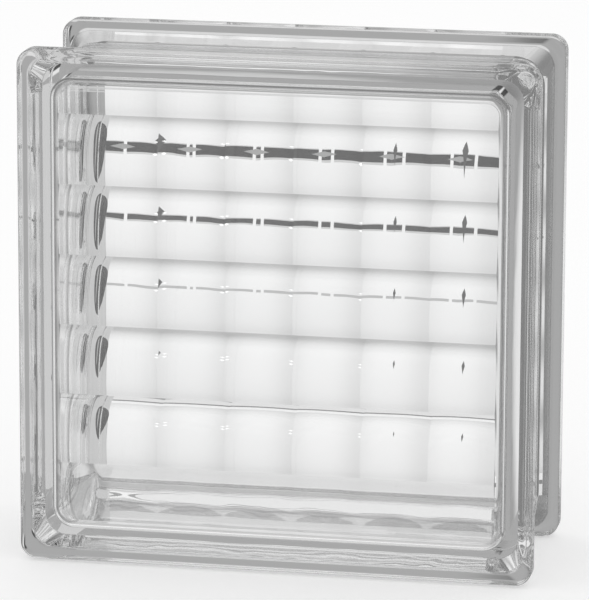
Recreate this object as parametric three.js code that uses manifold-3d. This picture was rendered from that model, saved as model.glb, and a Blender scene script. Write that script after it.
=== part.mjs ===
// Hollow glass building block, cross-reeded pattern, standing on one edge.
//
// The block is two pressed glass dishes fused mouth to mouth. Each dish is a pane with a
// reeded inner face, a thin side wall, and a thicker rim that stands out past the wall, so
// that the two rims leave a mortar channel round all four edges. The front dish has level
// reeds and the back dish has upright ones.
//
// Millimetres. X is the width, Y runs from the front face to the back, Z is up, and the
// origin is the middle of the edge that the block stands on.

import * as THREE from 'three';
import { mergeVertices } from 'three/addons/utils/BufferGeometryUtils.js';
import Module from 'manifold-3d';

const wasm = await Module();
wasm.setup();

// Overall size
const FACE_SIZE = 190;
const BLOCK_DEPTH = 80;

// Rim: the thick edge of each pane
const RIM_CORNER_RADIUS = 6;
const RIM_FACE_ROUNDING = 3;
const RIM_BACK_ROUNDING = 1;
const RIM_THICKNESS = 9.5;

// Mortar channel between the two rims: the back of the rim, a long shoulder, then the floor
const RIM_FOOT_DEPTH = 10.5;
const RIM_FOOT_INSET = 3.6;
const RIM_FOOT_RADIUS = 2;
const SHOULDER_END = 20.5;
const SHOULDER_RADIUS = 3;
const CHANNEL_DEPTH = 6.8;
const CHANNEL_CORNER_RADIUS = 8;

// Fused seam that stands up along the middle of the channel
const SEAM_HEIGHT = 1.5;
const SEAM_HALF_WIDTH = 3;

// Hollow inside
const WALL_THICKNESS = 3.4;
const WALL_DRAFT = 0.6;
const PANE_THICKNESS = 7;
const CAVITY_FILLET = 3.1;
const CAVITY_CORNER_RADIUS = 8;

// Reeds: rounded ribs side by side across the inside of a pane, sunk into a shallow field
const REED_PITCH = 26;
const REED_HEIGHT = 3;
const FIELD_SINK = 0.3;
const FIELD_MARGIN = 0.5;

// Facets along each curve
const CORNER_STEPS = 8;
const ROUNDING_STEPS = 4;
const EASING_STEPS = 3;
const REED_STEPS = 12;

// How far a cutting body runs past the faces that it cuts
const CUT_MARGIN = 2;

const halfDepth = BLOCK_DEPTH / 2;
const quarterTurn = Math.PI / 2;

// The reeds sit a quarter pitch off the middle, so one press tool serves both dishes.
const reedOffset = REED_PITCH / 4;

// Points of a quarter round that leaves its first leg and ends along its second one, as
// shares of its radius.
function quarterRound(steps) {
  const points = [];
  for (let step = 0; step <= steps; step += 1) {
    const angle = (quarterTurn * step) / steps;
    points.push({ rise: Math.sin(angle), run: 1 - Math.cos(angle) });
  }
  return points;
}

// One rounded square, parallel to the faces and inset from the block's outline.
function squareRing({ depth, inset, corner }) {
  const cornerCentre = FACE_SIZE / 2 - inset - corner;
  const ring = [];
  for (const [turn, signX, signZ] of [[0, 1, 1], [1, -1, 1], [2, -1, -1], [3, 1, -1]]) {
    for (let step = 0; step <= CORNER_STEPS; step += 1) {
      const angle = quarterTurn * (turn + step / CORNER_STEPS);
      const x = signX * cornerCentre + corner * Math.cos(angle);
      const z = signZ * cornerCentre + corner * Math.sin(angle);
      ring.push(x, depth, z);
    }
  }
  return ring;
}

// A closed skin over rounded squares that are given in order of growing depth.
function loft(sections) {
  const positions = sections.flatMap(squareRing);
  const ringSize = 4 * (CORNER_STEPS + 1);
  const lastRing = ringSize * (sections.length - 1);
  const nearCentre = ringSize * sections.length;
  const farCentre = nearCentre + 1;
  positions.push(0, sections[0].depth, 0);
  positions.push(0, sections.at(-1).depth, 0);
  const index = [];
  for (let point = 0; point < ringSize; point += 1) {
    const next = (point + 1) % ringSize;
    index.push(nearCentre, point, next);
    index.push(farCentre, lastRing + next, lastRing + point);
    for (let ring = 0; ring < lastRing; ring += ringSize) {
      const farther = ring + ringSize;
      index.push(ring + point, farther + next, ring + next);
      index.push(ring + point, farther + point, farther + next);
    }
  }
  const geometry = new THREE.BufferGeometry();
  geometry.setAttribute('position', new THREE.Float32BufferAttribute(positions, 3));
  geometry.setIndex(index);
  return geometry;
}

// Points of the arc that eases one corner of a profile, given as depth and inset.
function easedCorner({ before, corner, after, radius, steps }) {
  const into = corner.clone().sub(before).normalize();
  const out = after.clone().sub(corner).normalize();
  const turn = Math.acos(into.dot(out));
  const side = out.clone().addScaledVector(into, -into.dot(out)).normalize();
  const start = corner.clone().addScaledVector(into, -radius * Math.tan(turn / 2));
  const points = [];
  for (let step = 0; step <= steps; step += 1) {
    const angle = (turn * step) / steps;
    const along = start.clone().addScaledVector(into, radius * Math.sin(angle));
    points.push(along.addScaledVector(side, radius * (1 - Math.cos(angle))));
  }
  return points;
}

// Outside of a dish, from its face to the mouth: rim, shoulder, channel floor and half seam.
function dishOutside() {
  const onFace = new THREE.Vector2(0, RIM_FACE_ROUNDING);
  const faceEdge = new THREE.Vector2(0, 0);
  const rimBack = new THREE.Vector2(RIM_THICKNESS, 0);
  const rimFoot = new THREE.Vector2(RIM_FOOT_DEPTH, RIM_FOOT_INSET);
  const shoulderEnd = new THREE.Vector2(SHOULDER_END, CHANNEL_DEPTH);
  const seamStart = new THREE.Vector2(halfDepth - SEAM_HALF_WIDTH, CHANNEL_DEPTH);
  const rounding = { before: onFace, corner: faceEdge, after: rimBack };
  const rim = easedCorner({ ...rounding, radius: RIM_FACE_ROUNDING, steps: ROUNDING_STEPS });
  const corners = [
    { before: faceEdge, corner: rimBack, after: rimFoot, radius: RIM_BACK_ROUNDING },
    { before: rimBack, corner: rimFoot, after: shoulderEnd, radius: RIM_FOOT_RADIUS },
    { before: rimFoot, corner: shoulderEnd, after: seamStart, radius: SHOULDER_RADIUS },
  ];
  const channel = corners.flatMap((bend) => easedCorner({ ...bend, steps: EASING_STEPS }));
  for (const { rise, run } of quarterRound(ROUNDING_STEPS)) {
    const depth = seamStart.x + SEAM_HALF_WIDTH * run;
    channel.push(new THREE.Vector2(depth, CHANNEL_DEPTH - SEAM_HEIGHT * rise));
  }
  const cornerGrowth = (CHANNEL_CORNER_RADIUS - RIM_CORNER_RADIUS) / CHANNEL_DEPTH;
  const sections = rim.map(({ x: depth, y: inset }) => (
    { depth, inset, corner: RIM_CORNER_RADIUS - inset }
  ));
  for (const { x: depth, y: inset } of channel) {
    sections.push({ depth, inset, corner: RIM_CORNER_RADIUS + cornerGrowth * inset });
  }
  return loft(sections);
}

// Hollow of a dish above its reed field, to past the mouth.
function dishHollow() {
  const mouthInset = CHANNEL_DEPTH + WALL_THICKNESS;
  const marginDepth = PANE_THICKNESS + REED_HEIGHT + FIELD_SINK;
  const sections = [];
  for (const { rise, run } of quarterRound(ROUNDING_STEPS)) {
    const sweep = CAVITY_FILLET * (1 - rise);
    sections.push({
      depth: marginDepth + CAVITY_FILLET * run,
      inset: mouthInset + WALL_DRAFT + sweep,
      corner: CAVITY_CORNER_RADIUS - sweep,
    });
  }
  const mouth = { inset: mouthInset, corner: CAVITY_CORNER_RADIUS };
  sections.push({ depth: halfDepth, ...mouth });
  sections.push({ depth: halfDepth + CUT_MARGIN, ...mouth });
  return loft(sections);
}

// Straight-sided recess in the pane that the reeds lie in, with a narrow margin round it.
function reedRecess() {
  const fillet = CHANNEL_DEPTH + WALL_THICKNESS + WALL_DRAFT + CAVITY_FILLET;
  const outline = {
    inset: fillet + FIELD_MARGIN,
    corner: CAVITY_CORNER_RADIUS - CAVITY_FILLET - FIELD_MARGIN,
  };
  const marginDepth = PANE_THICKNESS + REED_HEIGHT + FIELD_SINK;
  return loft([
    { depth: PANE_THICKNESS - CUT_MARGIN, ...outline },
    { depth: marginDepth + CUT_MARGIN, ...outline },
  ]);
}

// Everything above the reeds: a block whose underside is the row of reeds, running level.
function spaceOverReeds() {
  const reach = FACE_SIZE / 2;
  const halfPitch = REED_PITCH / 2;
  const reedRadius = (halfPitch ** 2 + REED_HEIGHT ** 2) / (2 * REED_HEIGHT);
  const arcCentreDepth = PANE_THICKNESS + REED_HEIGHT - reedRadius;
  const halfArc = Math.asin(halfPitch / reedRadius);
  const firstReed = Math.floor((-reach - reedOffset) / REED_PITCH);
  const lastReed = Math.ceil((reach - reedOffset) / REED_PITCH);
  const top = halfDepth + 2 * CUT_MARGIN;
  const firstValley = reedOffset + (firstReed - 0.5) * REED_PITCH;
  const lastValley = reedOffset + (lastReed + 0.5) * REED_PITCH;
  const outline = new THREE.Shape();
  outline.moveTo(lastValley, top);
  outline.lineTo(firstValley, top);
  outline.lineTo(firstValley, PANE_THICKNESS);
  for (let reed = firstReed; reed <= lastReed; reed += 1) {
    const centre = reedOffset + reed * REED_PITCH;
    for (let step = 1; step <= REED_STEPS; step += 1) {
      const angle = halfArc * ((2 * step) / REED_STEPS - 1);
      const across = centre + reedRadius * Math.sin(angle);
      outline.lineTo(across, arcCentreDepth + reedRadius * Math.cos(angle));
    }
  }
  const block = new THREE.ExtrudeGeometry(outline, { depth: FACE_SIZE, bevelEnabled: false });
  block.translate(0, 0, -FACE_SIZE / 2);
  block.rotateY(-quarterTurn);
  return block;
}

// A closed geometry as a solid that can be cut and joined.
function toSolid(geometry) {
  const bare = geometry.clone();
  bare.deleteAttribute('normal');
  bare.deleteAttribute('uv');
  const merged = mergeVertices(bare);
  return new wasm.Manifold(new wasm.Mesh({
    numProp: 3,
    vertProperties: new Float32Array(merged.attributes.position.array),
    triVerts: new Uint32Array(merged.index.array),
  }));
}

function toGeometry(solid) {
  const mesh = solid.getMesh();
  const geometry = new THREE.BufferGeometry();
  geometry.setAttribute('position', new THREE.BufferAttribute(mesh.vertProperties, 3));
  geometry.setIndex(new THREE.BufferAttribute(mesh.triVerts, 1));
  geometry.computeVertexNormals();
  return geometry;
}

// One pressed dish with level reeds, its face at depth zero and its middle on the Y axis.
function pressedDish() {
  const reedField = toSolid(reedRecess()).intersect(toSolid(spaceOverReeds()));
  const hollow = toSolid(dishHollow()).add(reedField);
  return toGeometry(toSolid(dishOutside()).subtract(hollow));
}

function glass() {
  return new THREE.MeshStandardMaterial({ color: 0xdfe3e3, roughness: 0.04, metalness: 0 });
}

const block = new THREE.Group();
const dish = pressedDish();

const frontHalf = new THREE.Mesh(dish, glass());
frontHalf.name = 'front_half';
frontHalf.position.set(0, -halfDepth, FACE_SIZE / 2);
block.add(frontHalf);

// The back dish is the same pressing, turned to face the other way and rolled a quarter turn.
const backHalf = new THREE.Mesh(dish.clone().rotateY(-quarterTurn), glass());
backHalf.name = 'back_half';
backHalf.position.set(0, halfDepth, FACE_SIZE / 2);
backHalf.rotation.z = Math.PI;
block.add(backHalf);

export default block;
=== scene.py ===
import math

import bmesh
import bpy
from mathutils import Matrix, Vector


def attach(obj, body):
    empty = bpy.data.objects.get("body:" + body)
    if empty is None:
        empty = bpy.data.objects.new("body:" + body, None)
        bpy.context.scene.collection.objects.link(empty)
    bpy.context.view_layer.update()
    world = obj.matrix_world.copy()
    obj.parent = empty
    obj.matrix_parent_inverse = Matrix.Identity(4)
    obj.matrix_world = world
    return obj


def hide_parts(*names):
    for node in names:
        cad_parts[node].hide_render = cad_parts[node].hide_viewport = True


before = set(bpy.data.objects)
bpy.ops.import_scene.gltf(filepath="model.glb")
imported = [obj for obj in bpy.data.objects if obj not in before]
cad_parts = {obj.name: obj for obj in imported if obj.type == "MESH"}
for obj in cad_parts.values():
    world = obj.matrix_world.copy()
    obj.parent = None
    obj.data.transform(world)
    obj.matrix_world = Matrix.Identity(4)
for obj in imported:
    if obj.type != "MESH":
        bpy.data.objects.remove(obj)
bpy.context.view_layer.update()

MM = 0.001
HAIR = 0.00001
QUARTER_TURN = math.pi / 2

# Overall size, the same as the frame's.
FACE_SIZE = 190 * MM
BLOCK_DEPTH = 80 * MM
MID_HEIGHT = FACE_SIZE / 2
HALF_DEPTH = BLOCK_DEPTH / 2

# Rim: the thick edge of each pane.
RIM_CORNER_RADIUS = 6 * MM
RIM_FACE_ROUNDING = 3 * MM
RIM_BACK_ROUNDING = 1 * MM
RIM_THICKNESS = 9.5 * MM

# Mortar channel between the rims: the back of the rim, a long shoulder, then the floor.
RIM_FOOT_DEPTH = 10.5 * MM
RIM_FOOT_INSET = 3.6 * MM
RIM_FOOT_RADIUS = 2 * MM
SHOULDER_END = 20.5 * MM
SHOULDER_RADIUS = 3 * MM
CHANNEL_DEPTH = 6.8 * MM
CHANNEL_CORNER_RADIUS = 8 * MM

# Fused seam along the middle of the channel.
SEAM_HEIGHT = 1.5 * MM
SEAM_HALF_WIDTH = 3 * MM

# Hollow inside.
WALL_THICKNESS = 3.4 * MM
WALL_DRAFT = 0.6 * MM
PANE_THICKNESS = 7 * MM
CAVITY_FILLET = 3.1 * MM
CAVITY_CORNER_RADIUS = 8 * MM

# Reeds across the inside of each pane, sunk into a field with a narrow margin round it.
REED_PITCH = 26 * MM
REED_HEIGHT = 3 * MM
REED_OFFSET = REED_PITCH / 4
FIELD_SINK = 0.3 * MM
FIELD_MARGIN = 0.5 * MM

# Facets along each curve.
CORNER_STEPS = 16
ROUNDING_STEPS = 8
REED_STEPS = 32

# Widest bend that is still shaded as a smooth curve, in degrees.
SMOOTH_ANGLE = 25

# Glass: how strongly it bends light, the spread of its uneven tone, and its pressed waves.
GLASS_INDEX = 1.51
CLOUD_SCALE = 14
WAVE_SCALE = 75
WAVE_STRENGTH = 0.6
WAVE_DEPTH = 0.06 * MM

# The floor lies a hair below the block. It is 12 metres wide and a little brighter to look at
# than the light makes it.
FLOOR_SIZE = 12
FLOOR_GAP = 0.6 * MM
FLOOR_LIFT = 0.5

# Level of the white surroundings, as a light and as they look.
LIGHT_LEVEL = 0.6
BACKDROP_LEVEL = 1

# How often a ray may pass on through the glass.
BOUNCES = 32

# White card behind the block. The sizes of the card and of what is laid on it are in
# millimetres, and tones run from nought for black to one for white.
CARD_DISTANCE = 44
CARD_MIDDLE = (-5, 94)
CARD_SIZE = (148, 156)
CARD_LEFT = CARD_MIDDLE[0] - CARD_SIZE[0] / 2
CARD_STRENGTH = 1.02

# What is laid on the card lies in front of it in layers this far apart.
LAYER_GAP = 0.1

# Bands of painted shade and light along the card's foot, top and left: place across and up, half
# sizes, and tone.
PAINTED_BORDER_TONES = {
    "painted_pale_foot": (-5, 14, 74, 2.2, 0.85),
    "painted_dark_foot_line": (-5, 17, 74, 0.8, 0.25),
    "painted_bright_foot_band": (-5, 19.1, 74, 1.3, 1),
    "painted_top_shade": (-5, 163.4, 74, 2.9, 0.74),
    "painted_left_shade": (-88.5, 90, 9.4, 78, 0.62),
}

# The card repeats in rows and columns: one row to each level reed, one column to each
# upright one.
ROWS = 5
FIRST_ROW = 138.9
ROW_PITCH = 27.3
FIRST_COLUMN = -47.8
COLUMN_PITCH = 25.8
COLUMNS = range(-1, 5)

# Painted shade of the card between its rows and columns: where it is palest, pitch, how much
# greyer.
ROW_SHADE = (FIRST_ROW - 1.6, ROW_PITCH, 0.45)
COLUMN_SHADE = (FIRST_COLUMN, 25.5, 0.15)
SHADE_FALL = 1.5

# Strips of painted shadow across the card: thickness and tone, from the top row down. The first
# two have a pale edge of painted light, and the first has a grey eye of painted shade at each
# column.
STRIPS = ((1.36, 0.1), (0.75, 0.12), (0.45, 0.56))
STRIP_RIGHT = 67.5
STRIP_SAG = 0.29
EDGED_STRIPS = 2
EDGE_WIDTH = 0.4
EYE_HALF_WIDTH = 4
EYE_HALF_HEIGHT = 0.4
GAPS = (-72.9, -48.3, -46.4, -22.7, -20.3, 2.6, 6.4, 27.6, 33.3, 52.9, 60.4)
GAP_WIDTH = 1.0
SHORTEST_STRIP = 0.05

# Small lozenges of painted shade on the rows: place, half width and how tall, shrinking from row
# to row.
LOZENGES = ((-59.5, 4.2, 1.0), (-34.5, 2.4, 0.6), (30.6, 0.6, 0.65), (56.9, 0.95, 1.0))
LOZENGE_HALF_HEIGHT = 3.05
LOZENGE_DROP = 1.15
LOZENGE_SHRINK = 0.16

# Painted glints, bright specks above and below the strips: place and how far apart.
SPARKS = ((-59.5, 3.6), (-34.5, 3.0), (-9.2, 1.8), (17.5, 1.8))
SPARK_HALF_WIDTH = 0.9
SPARK_HALF_HEIGHT = 0.16
SPARK_LIFT = 0.3

# Ovals of painted shade on the painted left band, one to a row. Each has two paler painted
# streaks: place, half width and how much shorter than the oval.
OVAL_X = -83.2
OVAL_DROP = 1.6
OVAL_HALF_WIDTH = 4.4
OVAL_HALF_HEIGHT = 6.4
OVAL_SHRINK = 0.5
OVAL_SIDES = 24
STREAKS = ((-82.0, 0.7, 1.6), (-84.8, 0.5, 1.2))

# Grey tent round the block, its radius in metres, and its softly lighter or darker patches:
# degrees round from the back towards the right, degrees up, reach of the even middle and of
# the soft edge in degrees, and how much lighter.
TENT_RADIUS = 1.6
TENT_GREY = 0.2
TENT_PATCHES = (
    (-12, -13, 12, 40, 0.19),
    (0, -90, 30, 60, 0.5),
    (8, -13, 3, 6, 0.45),
    (-1, -13, 3, 6, -0.35),
    (-15, -31, 8, 12, 0.35),
    (-13, 18, 4, 7, 0.3),
    (-14, 28, 4, 7, 0.6),
    (-15, 42, 8, 16, 0.2),
    (75, 0, 15, 30, 0.6),
    (-97, 0, 20, 40, 0.3),
    (-150, -10, 50, 75, 0.4),
)

# Camera: where it stands round the block, how far off, and its lens, in pixels of the frame.
CAMERA_AZIMUTH = 11.315
CAMERA_ELEVATION = 12.650
CAMERA_ROLL = 0.217
CAMERA_DISTANCE = 1729.059 * MM
CAMERA_TARGET_HEIGHT = 93.445 * MM
LENS_PIXELS = 4695.4
FRAME_PIXELS = 600
SENSOR_WIDTH = 36


def deselect_everything():
    bpy.ops.object.select_all(action="DESELECT")


def pick(piece):
    deselect_everything()
    piece.select_set(True)
    bpy.context.view_layer.objects.active = piece


def quarter_round(steps):
    """Rise and run along a quarter round, as shares of its radius."""
    angles = [QUARTER_TURN * step / steps for step in range(steps + 1)]
    return [(math.sin(angle), 1 - math.cos(angle)) for angle in angles]


def select_rings(piece, depths):
    """Selects the level edges that lie at the given depths."""
    mesh = bmesh.from_edit_mesh(piece.data)
    for element in [*mesh.faces, *mesh.edges, *mesh.verts]:
        element.select_set(False)
    for edge in mesh.edges:
        for depth in depths:
            if all(abs(vertex.co.y - depth) < HAIR for vertex in edge.verts):
                edge.select_set(True)
    bmesh.update_edit_mesh(piece.data)


def round_corners(corner):
    bpy.ops.mesh.bevel(offset=corner, segments=CORNER_STEPS, affect="VERTICES")


def loft(name, rings):
    """A closed skin over rounded squares, each given as its depth, inset and corner radius."""
    deselect_everything()
    depth, inset, corner = rings[0]
    square = {"location": (0, depth, MID_HEIGHT), "rotation": (QUARTER_TURN, 0, 0)}
    bpy.ops.mesh.primitive_plane_add(size=FACE_SIZE - 2 * inset, **square)
    piece = bpy.context.object
    piece.name = piece.data.name = name
    bpy.ops.object.transform_apply(location=True, rotation=True, scale=True)
    bpy.ops.object.mode_set(mode="EDIT")
    bpy.ops.mesh.select_mode(type="VERT")
    bpy.ops.mesh.select_all(action="SELECT")
    round_corners(corner)
    before = depth
    for depth, inset, corner in rings[1:]:
        square["location"] = (0, depth, MID_HEIGHT)
        bpy.ops.mesh.primitive_plane_add(size=FACE_SIZE - 2 * inset, **square)
        round_corners(corner)
        if depth != rings[-1][0]:
            bpy.ops.mesh.delete(type="ONLY_FACE")
        bpy.ops.mesh.select_mode(type="EDGE")
        select_rings(piece, [before, depth])
        bpy.ops.mesh.bridge_edge_loops()
        bpy.ops.mesh.select_mode(type="VERT")
        before = depth
    bpy.ops.mesh.select_all(action="SELECT")
    bpy.ops.mesh.normals_make_consistent(inside=False)
    bpy.ops.object.mode_set(mode="OBJECT")
    return piece


def eased_corner(before, corner, after, radius):
    """Points of the arc that eases one corner of a profile."""
    into = (corner - before).normalized()
    out = (after - corner).normalized()
    turn = math.acos(into.dot(out))
    side = (out - into * into.dot(out)).normalized()
    start = corner - into * radius * math.tan(turn / 2)
    points = []
    for step in range(ROUNDING_STEPS + 1):
        angle = turn * step / ROUNDING_STEPS
        points.append(start + radius * (into * math.sin(angle) + side * (1 - math.cos(angle))))
    return points


def half_outside():
    """Rings of one dish's outside, from its face at depth zero to the middle of the seam."""
    face_edge = Vector((0, 0))
    rim_back = Vector((RIM_THICKNESS, 0))
    rim_foot = Vector((RIM_FOOT_DEPTH, RIM_FOOT_INSET))
    shoulder_end = Vector((SHOULDER_END, CHANNEL_DEPTH))
    seam_start = Vector((HALF_DEPTH - SEAM_HALF_WIDTH, CHANNEL_DEPTH))
    rings = []
    for depth, inset in eased_corner(Vector((0, 1)), face_edge, rim_back, RIM_FACE_ROUNDING):
        rings.append((depth, inset, RIM_CORNER_RADIUS - inset))
    profile = eased_corner(face_edge, rim_back, rim_foot, RIM_BACK_ROUNDING)
    profile += eased_corner(rim_back, rim_foot, shoulder_end, RIM_FOOT_RADIUS)
    profile += eased_corner(rim_foot, shoulder_end, seam_start, SHOULDER_RADIUS)
    for rise, run in quarter_round(ROUNDING_STEPS):
        profile.append(seam_start + Vector((SEAM_HALF_WIDTH * run, -SEAM_HEIGHT * rise)))
    for depth, inset in profile:
        growth = (CHANNEL_CORNER_RADIUS - RIM_CORNER_RADIUS) * inset / CHANNEL_DEPTH
        rings.append((depth, inset, RIM_CORNER_RADIUS + growth))
    return rings


def half_hollow():
    """Rings of one dish's hollow above its reeds, to the middle of the seam."""
    mouth_inset = CHANNEL_DEPTH + WALL_THICKNESS
    margin_depth = PANE_THICKNESS + REED_HEIGHT + FIELD_SINK
    rings = []
    for rise, run in quarter_round(ROUNDING_STEPS):
        sweep = CAVITY_FILLET * (1 - rise)
        inset = mouth_inset + WALL_DRAFT + sweep
        rings.append((margin_depth + CAVITY_FILLET * run, inset, CAVITY_CORNER_RADIUS - sweep))
    rings.append((HALF_DEPTH, mouth_inset, CAVITY_CORNER_RADIUS))
    return rings


def both_halves(rings):
    """Rings of the front dish, then the back dish's, which mirror them."""
    front = [(depth - HALF_DEPTH, inset, corner) for depth, inset, corner in rings]
    back = [(-depth, inset, corner) for depth, inset, corner in reversed(front[:-1])]
    return front + back


def reeded_slab(name):
    """A pane with level reeds on its inner side, to trim the hollow's front with."""
    deselect_everything()
    half_pitch = REED_PITCH / 2
    radius = (half_pitch ** 2 + REED_HEIGHT ** 2) / (2 * REED_HEIGHT)
    half_arc = math.asin(half_pitch / radius)
    arc_centre = PANE_THICKNESS + REED_HEIGHT - radius - HALF_DEPTH
    bpy.ops.mesh.primitive_plane_add(size=1)
    slab = bpy.context.object
    slab.name = slab.data.name = name
    bpy.ops.object.mode_set(mode="EDIT")
    bpy.ops.mesh.select_all(action="SELECT")
    bpy.ops.mesh.delete(type="VERT")
    mesh = bmesh.from_edit_mesh(slab.data)
    first = math.floor((-MID_HEIGHT - REED_OFFSET) / REED_PITCH)
    last = math.ceil((MID_HEIGHT - REED_OFFSET) / REED_PITCH)
    outline = []
    for reed in range(first, last + 1):
        middle = REED_OFFSET + reed * REED_PITCH
        for step in range(REED_STEPS):
            angle = half_arc * (2 * step / REED_STEPS - 1)
            height = middle + radius * math.sin(angle)
            outline.append((arc_centre + radius * math.cos(angle), height))
    height = REED_OFFSET + (last + 0.5) * REED_PITCH
    outline.append((PANE_THICKNESS - HALF_DEPTH, height))
    outline.append((-HALF_DEPTH, height))
    outline.append((-HALF_DEPTH, REED_OFFSET + (first - 0.5) * REED_PITCH))
    points = []
    for depth, height in outline:
        points.append(mesh.verts.new((-MID_HEIGHT, depth, MID_HEIGHT + height)))
    face = mesh.faces.new(points)
    face.select_set(True)
    bmesh.update_edit_mesh(slab.data)
    bpy.ops.mesh.extrude_region_move(TRANSFORM_OT_translate={"value": (FACE_SIZE, 0, 0)})
    bpy.ops.mesh.select_all(action="SELECT")
    bpy.ops.mesh.normals_make_consistent(inside=False)
    bpy.ops.object.mode_set(mode="OBJECT")
    return slab


def combine(piece, other, operation):
    """Joins or cuts one closed shape with another, and takes the other away."""
    pick(piece)
    change = piece.modifiers.new("combine", "BOOLEAN")
    change.object = other
    change.operation = operation
    change.solver = "EXACT"
    bpy.ops.object.modifier_apply(modifier=change.name)
    bpy.data.objects.remove(other)


def reed_field(name):
    """The shallow space between a pane's level reeds and the rest of the hollow."""
    inset = CHANNEL_DEPTH + WALL_THICKNESS + WALL_DRAFT + CAVITY_FILLET + FIELD_MARGIN
    corner = CAVITY_CORNER_RADIUS - CAVITY_FILLET - FIELD_MARGIN
    floor = PANE_THICKNESS - FIELD_SINK - HALF_DEPTH
    field = loft(name, [(floor, inset, corner), (floor + 2 * REED_HEIGHT, inset, corner)])
    combine(field, reeded_slab("reeded_slab"), "DIFFERENCE")
    return field


def turn_to_back(piece):
    """Turns a front piece round to the back pane, and rolls it so that its reeds stand up."""
    pick(piece)
    middle = (0, 0, MID_HEIGHT)
    bpy.ops.object.mode_set(mode="EDIT")
    bpy.ops.mesh.select_all(action="SELECT")
    bpy.ops.transform.rotate(value=QUARTER_TURN, orient_axis="Y", center_override=middle)
    bpy.ops.transform.rotate(value=2 * QUARTER_TURN, orient_axis="Z", center_override=middle)
    bpy.ops.object.mode_set(mode="OBJECT")


def glass_block():
    """Two pressed dishes fused mouth to mouth, level reeds in front and upright ones behind."""
    back_field = reed_field("back_field")
    turn_to_back(back_field)
    hollow = loft("hollow", both_halves(half_hollow()))
    combine(hollow, reed_field("front_field"), "UNION")
    combine(hollow, back_field, "UNION")
    block = loft("fused_block", both_halves(half_outside()))
    combine(block, hollow, "DIFFERENCE")
    pick(block)
    bpy.ops.object.shade_smooth_by_angle(angle=math.radians(SMOOTH_ANGLE))
    even = block.modifiers.new("even_normals", "WEIGHTED_NORMAL")
    even.keep_sharp = True
    even.weight = 100
    bpy.ops.object.modifier_apply(modifier=even.name)
    return block


def clear_glass():
    """Clear pressed glass: its faces are a little wavy and its tone a little uneven."""
    finish = bpy.data.materials.new("clear_pressed_glass")
    finish.use_nodes = True
    tree = finish.node_tree
    shader = tree.nodes["Principled BSDF"]
    shader.inputs["Transmission Weight"].default_value = 1
    shader.inputs["Roughness"].default_value = 0
    shader.inputs["IOR"].default_value = GLASS_INDEX
    place = tree.nodes.new("ShaderNodeTexCoord")
    clouds = tree.nodes.new("ShaderNodeTexNoise")
    clouds.inputs["Scale"].default_value = CLOUD_SCALE
    clouds.inputs["Detail"].default_value = 2
    tree.links.new(place.outputs["Object"], clouds.inputs["Vector"])
    tone = tree.nodes.new("ShaderNodeValToRGB")
    tone.color_ramp.elements[0].position = 0.35
    tone.color_ramp.elements[0].color = (0.958, 0.96, 0.96, 1)
    tone.color_ramp.elements[1].position = 0.65
    tone.color_ramp.elements[1].color = (0.975, 0.975, 0.975, 1)
    tree.links.new(clouds.outputs["Fac"], tone.inputs["Fac"])
    tree.links.new(tone.outputs["Color"], shader.inputs["Base Color"])
    waves = tree.nodes.new("ShaderNodeTexNoise")
    waves.inputs["Scale"].default_value = WAVE_SCALE
    waves.inputs["Detail"].default_value = 1
    waves.inputs["Roughness"].default_value = 0.3
    tree.links.new(place.outputs["Object"], waves.inputs["Vector"])
    pressed = tree.nodes.new("ShaderNodeBump")
    pressed.inputs["Strength"].default_value = WAVE_STRENGTH
    pressed.inputs["Distance"].default_value = WAVE_DEPTH
    tree.links.new(waves.outputs["Fac"], pressed.inputs["Height"])
    tree.links.new(pressed.outputs["Normal"], shader.inputs["Normal"])
    return finish


block = glass_block()
block.data.materials.clear()
block.data.materials.append(clear_glass())
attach(block, "root")
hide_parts("front_half", "back_half")


def glow(name, tone, strength=1):
    """A plain grey sheet that gives off an even light of its own."""
    finish = bpy.data.materials.new(name)
    finish.use_nodes = True
    tree = finish.node_tree
    tree.nodes.clear()
    light = tree.nodes.new("ShaderNodeEmission")
    light.inputs["Color"].default_value = (tone, tone, tone, 1)
    light.inputs["Strength"].default_value = strength
    out = tree.nodes.new("ShaderNodeOutputMaterial")
    tree.links.new(light.outputs[0], out.inputs["Surface"])
    return finish


def hide_from(sheet, *ways):
    for way in ways:
        setattr(sheet, "visible_" + way, False)


def show_through_glass_only(sheet):
    hide_from(sheet, "camera", "diffuse", "shadow", "glossy", "volume_scatter")


def shade_between(tree, across, middle, pitch, greyer):
    """A level of one at each row or column, that falls off softly halfway to the next."""
    turns = tree.nodes.new("ShaderNodeMapRange")
    turns.clamp = False
    turns.inputs["From Min"].default_value = middle * MM
    turns.inputs["From Max"].default_value = (middle + pitch) * MM
    turns.inputs["To Max"].default_value = 2 * math.pi
    tree.links.new(across, turns.inputs["Value"])
    wave = tree.nodes.new("ShaderNodeMath")
    wave.operation = "COSINE"
    tree.links.new(turns.outputs["Result"], wave.inputs[0])
    away = tree.nodes.new("ShaderNodeMapRange")
    away.inputs["From Min"].default_value = 1
    away.inputs["From Max"].default_value = -1
    tree.links.new(wave.outputs[0], away.inputs["Value"])
    narrow = tree.nodes.new("ShaderNodeMath")
    narrow.operation = "POWER"
    narrow.inputs[1].default_value = SHADE_FALL
    tree.links.new(away.outputs["Result"], narrow.inputs[0])
    dim = tree.nodes.new("ShaderNodeMapRange")
    dim.inputs["To Min"].default_value = 1
    dim.inputs["To Max"].default_value = 1 - greyer
    tree.links.new(narrow.outputs[0], dim.inputs["Value"])
    return dim.outputs["Result"]


def times(tree, level, factor):
    """One level times another, which is a socket or a plain number."""
    product = tree.nodes.new("ShaderNodeMath")
    product.operation = "MULTIPLY"
    tree.links.new(level, product.inputs[0])
    if isinstance(factor, bpy.types.NodeSocket):
        tree.links.new(factor, product.inputs[1])
    else:
        product.inputs[1].default_value = factor
    return product.outputs[0]


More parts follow.
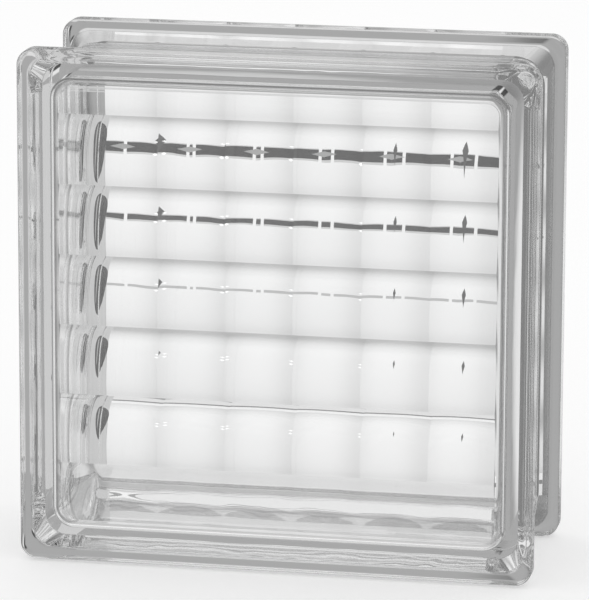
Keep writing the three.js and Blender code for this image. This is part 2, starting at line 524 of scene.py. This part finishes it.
def card_painted_shade():
    """White, with painted shade between its rows and columns, seen one to each reed."""
    finish = bpy.data.materials.new("card_with_painted_shade")
    finish.use_nodes = True
    tree = finish.node_tree
    tree.nodes.clear()
    place = tree.nodes.new("ShaderNodeTexCoord")
    axes = tree.nodes.new("ShaderNodeSeparateXYZ")
    tree.links.new(place.outputs["Object"], axes.inputs[0])
    rows = shade_between(tree, axes.outputs["Z"], *ROW_SHADE)
    columns = shade_between(tree, axes.outputs["X"], *COLUMN_SHADE)
    level = times(tree, times(tree, rows, columns), CARD_STRENGTH)
    light = tree.nodes.new("ShaderNodeEmission")
    light.inputs["Color"].default_value = (1, 1, 1, 1)
    tree.links.new(level, light.inputs["Strength"])
    out = tree.nodes.new("ShaderNodeOutputMaterial")
    tree.links.new(light.outputs[0], out.inputs["Surface"])
    return finish


def window_card():
    """The white card itself, upright behind the block."""
    deselect_everything()
    x, z = CARD_MIDDLE
    centre = (x * MM, CARD_DISTANCE * MM, z * MM)
    bpy.ops.mesh.primitive_plane_add(size=1, location=centre, rotation=(QUARTER_TURN, 0, 0))
    sheet = bpy.context.object
    sheet.name = sheet.data.name = "window_card"
    width, height = CARD_SIZE
    sheet.scale = (width * MM, height * MM, 1)
    bpy.ops.object.transform_apply(location=True, rotation=True, scale=True)
    sheet.data.materials.append(card_painted_shade())
    show_through_glass_only(sheet)


def mark(shape, x, z, half_width, half_height, layer, finish, turn=0):
    """A flat strip, lozenge or oval laid in front of the card, sizes in millimetres."""
    deselect_everything()
    centre = (x * MM, (CARD_DISTANCE - layer * LAYER_GAP) * MM, z * MM)
    upright = {"location": centre, "rotation": (QUARTER_TURN, turn, 0)}
    if shape == "strip":
        bpy.ops.mesh.primitive_plane_add(size=2, **upright)
    else:
        sides = 4 if shape == "lozenge" else OVAL_SIDES
        bpy.ops.mesh.primitive_circle_add(
            vertices=sides, radius=1, fill_type="NGON", **upright)
    piece = bpy.context.object
    piece.scale = (half_width * MM, half_height * MM, 1)
    bpy.ops.object.transform_apply(location=True, rotation=True, scale=True)
    piece.data.materials.append(finish)
    show_through_glass_only(piece)
    return piece


def strip_ends():
    """Where the pieces of a strip start and end: at its gaps and at its bends."""
    ends = {CARD_LEFT, STRIP_RIGHT}
    for column in COLUMNS:
        middle = FIRST_COLUMN + COLUMN_PITCH * column
        ends.update((middle, middle + COLUMN_PITCH / 2))
    for gap in GAPS:
        ends.update((gap - GAP_WIDTH / 2, gap + GAP_WIDTH / 2))
    return sorted(end for end in ends if CARD_LEFT <= end <= STRIP_RIGHT)


def painted_shadow_strip(z, thickness, layer, finish):
    """A strip of painted shadow right across the card, bent a little at each column and broken at
    the gaps.
    """
    pieces = []
    ends = strip_ends()
    for left, right in zip(ends, ends[1:]):
        x = (left + right) / 2
        in_a_gap = any(abs(x - gap) < GAP_WIDTH / 2 for gap in GAPS)
        if in_a_gap or right - left < SHORTEST_STRIP:
            continue
        lean = (x - FIRST_COLUMN) / COLUMN_PITCH
        lean -= round(lean)
        height = z + STRIP_SAG * (1 - 2 * abs(lean))
        turn = math.atan(math.copysign(2 * STRIP_SAG / COLUMN_PITCH, lean))
        half_width = (right - left) / 2
        pieces.append(mark("strip", x, height, half_width, thickness / 2, layer, finish, turn))
    return pieces


def row_painted_shadows(row, z, painted_tones):
    """The painted shadow strip of one row, with painted pale edges and grey eyes on the thickest
    ones.
    """
    if row >= len(STRIPS):
        return []
    pieces = []
    thickness, tone = STRIPS[row]
    if row < EDGED_STRIPS:
        pieces += painted_shadow_strip(z, thickness + EDGE_WIDTH, 1, painted_tones["edge"])
    pieces += painted_shadow_strip(z, thickness, 2, glow("strip_%d" % row, tone))
    if row == 0:
        for column in COLUMNS:
            x = FIRST_COLUMN + COLUMN_PITCH * column
            eye = (EYE_HALF_WIDTH, EYE_HALF_HEIGHT)
            pieces.append(mark("lozenge", x, z + STRIP_SAG, *eye, 3, painted_tones["eye"]))
    return pieces


def row_oval(row, z, painted_tones):
    """The oval of painted shade on the left band, with its paler streaks."""
    z -= OVAL_DROP
    half_height = OVAL_HALF_HEIGHT - OVAL_SHRINK * row
    pieces = [mark("oval", OVAL_X, z, OVAL_HALF_WIDTH, half_height, 2, painted_tones["oval"])]
    for x, half_width, shorter in STREAKS:
        streak = (half_width, half_height - shorter)
        pieces.append(mark("oval", x, z, *streak, 3, painted_tones["streak"]))
    return pieces


def row_lozenges(row, z, painted_tones):
    """The small lozenges of painted shade on one row."""
    pieces = []
    size = 1 - LOZENGE_SHRINK * row
    for x, half_width, tall in LOZENGES:
        tall *= size
        height = z - LOZENGE_DROP * tall
        lozenge = (half_width * size, LOZENGE_HALF_HEIGHT * tall)
        pieces.append(mark("lozenge", x, height, *lozenge, 4, painted_tones["dark"]))
    return pieces


def row_painted_glints(row, z, painted_tones):
    """Painted glints above and below a row's strip, or close together where it has none."""
    pieces = []
    lift = SPARK_LIFT
    if row < len(STRIPS):
        lift += STRIPS[row][0] / 2
    spark = (SPARK_HALF_WIDTH, SPARK_HALF_HEIGHT)
    for x, apart in SPARKS:
        for across in (-apart, apart):
            for rise in (-lift, lift):
                pieces.append(mark("lozenge", x + across, z + rise, *spark, 5, painted_tones["spark"]))
    return pieces


def painted_card_marks():
    """Everything that is laid on the card, its painted light and shade, joined into one sheet."""
    marks = []
    # Bands of painted shade and light along the card's edges.
    for name, (x, z, half_width, half_height, tone) in PAINTED_BORDER_TONES.items():
        marks.append(mark("strip", x, z, half_width, half_height, 1, glow(name, tone)))
    # Finishes of the painted shadow, shade and glints on the rows.
    painted_tones = {
        "edge": glow("painted_pale_edge", 0.68),
        "eye": glow("painted_grey_eye", 0.42),
        "dark": glow("painted_shade_lozenge", 0.13),
        "spark": glow("painted_glint", 1, 1.3),
        "oval": glow("painted_oval_shade", 0.1),
        "streak": glow("painted_oval_streak", 0.45),
    }
    for row in range(ROWS):
        z = FIRST_ROW - ROW_PITCH * row
        for laid in (row_painted_shadows, row_oval, row_lozenges, row_painted_glints):
            marks += laid(row, z, painted_tones)
    deselect_everything()
    for piece in marks:
        piece.select_set(True)
    bpy.context.view_layer.objects.active = marks[0]
    bpy.ops.object.join()
    joined = bpy.context.object
    joined.name = joined.data.name = "painted_card_marks"


window_card()
painted_card_marks()


def direction_from_block(tree):
    """The direction in which a point of the tent lies, seen from the middle of the block."""
    place = tree.nodes.new("ShaderNodeTexCoord")
    from_block = tree.nodes.new("ShaderNodeVectorMath")
    from_block.operation = "SUBTRACT"
    from_block.inputs[1].default_value = (0, 0, MID_HEIGHT)
    tree.links.new(place.outputs["Object"], from_block.inputs[0])
    direction = tree.nodes.new("ShaderNodeVectorMath")
    direction.operation = "NORMALIZE"
    tree.links.new(from_block.outputs[0], direction.inputs[0])
    return direction.outputs[0]


def soft_patch(tree, direction, round_to, up_to, middle, edge, lighter):
    """How much lighter one round patch makes each direction."""
    turn, rise = math.radians(round_to), math.radians(up_to)
    level = math.cos(rise)
    near = tree.nodes.new("ShaderNodeVectorMath")
    near.operation = "DOT_PRODUCT"
    near.inputs[1].default_value = (math.sin(turn) * level, math.cos(turn) * level, math.sin(rise))
    tree.links.new(direction, near.inputs[0])
    fade = tree.nodes.new("ShaderNodeMapRange")
    fade.interpolation_type = "SMOOTHSTEP"
    fade.inputs["From Min"].default_value = math.cos(math.radians(edge))
    fade.inputs["From Max"].default_value = math.cos(math.radians(middle))
    fade.inputs["To Max"].default_value = lighter
    tree.links.new(near.outputs["Value"], fade.inputs["Value"])
    return fade.outputs["Result"]


def tent():
    """A round grey tent that only the glass shows, with its soft patches."""
    deselect_everything()
    bpy.ops.mesh.primitive_uv_sphere_add(segments=48, ring_count=24, radius=TENT_RADIUS)
    sheets = bpy.context.object
    sheets.name = sheets.data.name = "grey_tent"
    finish = bpy.data.materials.new("grey_sheet")
    finish.use_nodes = True
    tree = finish.node_tree
    tree.nodes.clear()
    direction = direction_from_block(tree)
    grey = tree.nodes.new("ShaderNodeValue")
    grey.outputs[0].default_value = TENT_GREY
    total = grey.outputs[0]
    for patch in TENT_PATCHES:
        added = tree.nodes.new("ShaderNodeMath")
        tree.links.new(total, added.inputs[0])
        tree.links.new(soft_patch(tree, direction, *patch), added.inputs[1])
        total = added.outputs[0]
    light = tree.nodes.new("ShaderNodeEmission")
    tree.links.new(total, light.inputs["Strength"])
    out = tree.nodes.new("ShaderNodeOutputMaterial")
    tree.links.new(light.outputs[0], out.inputs["Surface"])
    sheets.data.materials.append(finish)
    hide_from(sheets, "camera", "diffuse", "shadow", "volume_scatter")


tent()


def looking_rays(tree):
    """One for rays of the camera, of gloss and of glass, and nought for the light itself."""
    rays = tree.nodes.new("ShaderNodeLightPath")
    total = rays.outputs["Is Camera Ray"]
    for kind in ("Is Glossy Ray", "Is Transmission Ray"):
        either = tree.nodes.new("ShaderNodeMath")
        either.operation = "MAXIMUM"
        tree.links.new(total, either.inputs[0])
        tree.links.new(rays.outputs[kind], either.inputs[1])
        total = either.outputs[0]
    return total


def floor():
    """A white floor. The glass shows the lower half of the tent in its stead."""
    deselect_everything()
    bpy.ops.mesh.primitive_plane_add(size=FLOOR_SIZE, location=(0, 0, -FLOOR_GAP))
    ground = bpy.context.object
    ground.name = ground.data.name = "floor"
    bpy.ops.object.transform_apply(location=True, rotation=True, scale=True)
    finish = bpy.data.materials.new("white_floor")
    finish.use_nodes = True
    tree = finish.node_tree
    shader = tree.nodes["Principled BSDF"]
    shader.inputs["Base Color"].default_value = (0.8, 0.8, 0.8, 1)
    shader.inputs["Roughness"].default_value = 0.9
    shader.inputs["Emission Color"].default_value = (1, 1, 1, 1)
    lift = times(tree, looking_rays(tree), FLOOR_LIFT)
    tree.links.new(lift, shader.inputs["Emission Strength"])
    ground.data.materials.append(finish)
    hide_from(ground, "glossy", "transmission")


floor()


def surroundings():
    """Even white light all round, softer on the floor than it looks."""
    world = bpy.data.worlds.new("studio")
    bpy.context.scene.world = world
    world.use_nodes = True
    tree = world.node_tree
    back = tree.nodes["Background"]
    back.inputs["Color"].default_value = (1, 1, 1, 1)
    level = tree.nodes.new("ShaderNodeMapRange")
    level.inputs["To Min"].default_value = LIGHT_LEVEL
    level.inputs["To Max"].default_value = BACKDROP_LEVEL
    tree.links.new(looking_rays(tree), level.inputs["Value"])
    tree.links.new(level.outputs[0], back.inputs["Strength"])


surroundings()


def camera():
    """Looks a little down at the block from the right of its front."""
    azimuth = math.radians(CAMERA_AZIMUTH)
    elevation = math.radians(CAMERA_ELEVATION)
    roll = math.radians(CAMERA_ROLL)
    back = Vector((
        math.sin(azimuth) * math.cos(elevation),
        -math.cos(azimuth) * math.cos(elevation),
        math.sin(elevation),
    ))
    level = Vector((math.cos(azimuth), math.sin(azimuth), 0))
    upright = back.cross(level)
    right = level * math.cos(roll) + upright * math.sin(roll)
    up = upright * math.cos(roll) - level * math.sin(roll)
    data = bpy.data.cameras.new("camera")
    data.sensor_width = SENSOR_WIDTH
    data.lens = LENS_PIXELS * SENSOR_WIDTH / FRAME_PIXELS
    view = bpy.data.objects.new("camera", data)
    bpy.context.scene.collection.objects.link(view)
    turned = Matrix((right, up, back)).transposed().to_4x4()
    turned.translation = Vector((0, 0, CAMERA_TARGET_HEIGHT)) + back * CAMERA_DISTANCE
    view.matrix_world = turned
    bpy.context.scene.camera = view


camera()

cycles = bpy.context.scene.cycles
cycles.max_bounces = BOUNCES
cycles.transmission_bounces = BOUNCES
cycles.glossy_bounces = BOUNCES
bpy.context.scene.view_settings.view_transform = "Standard"
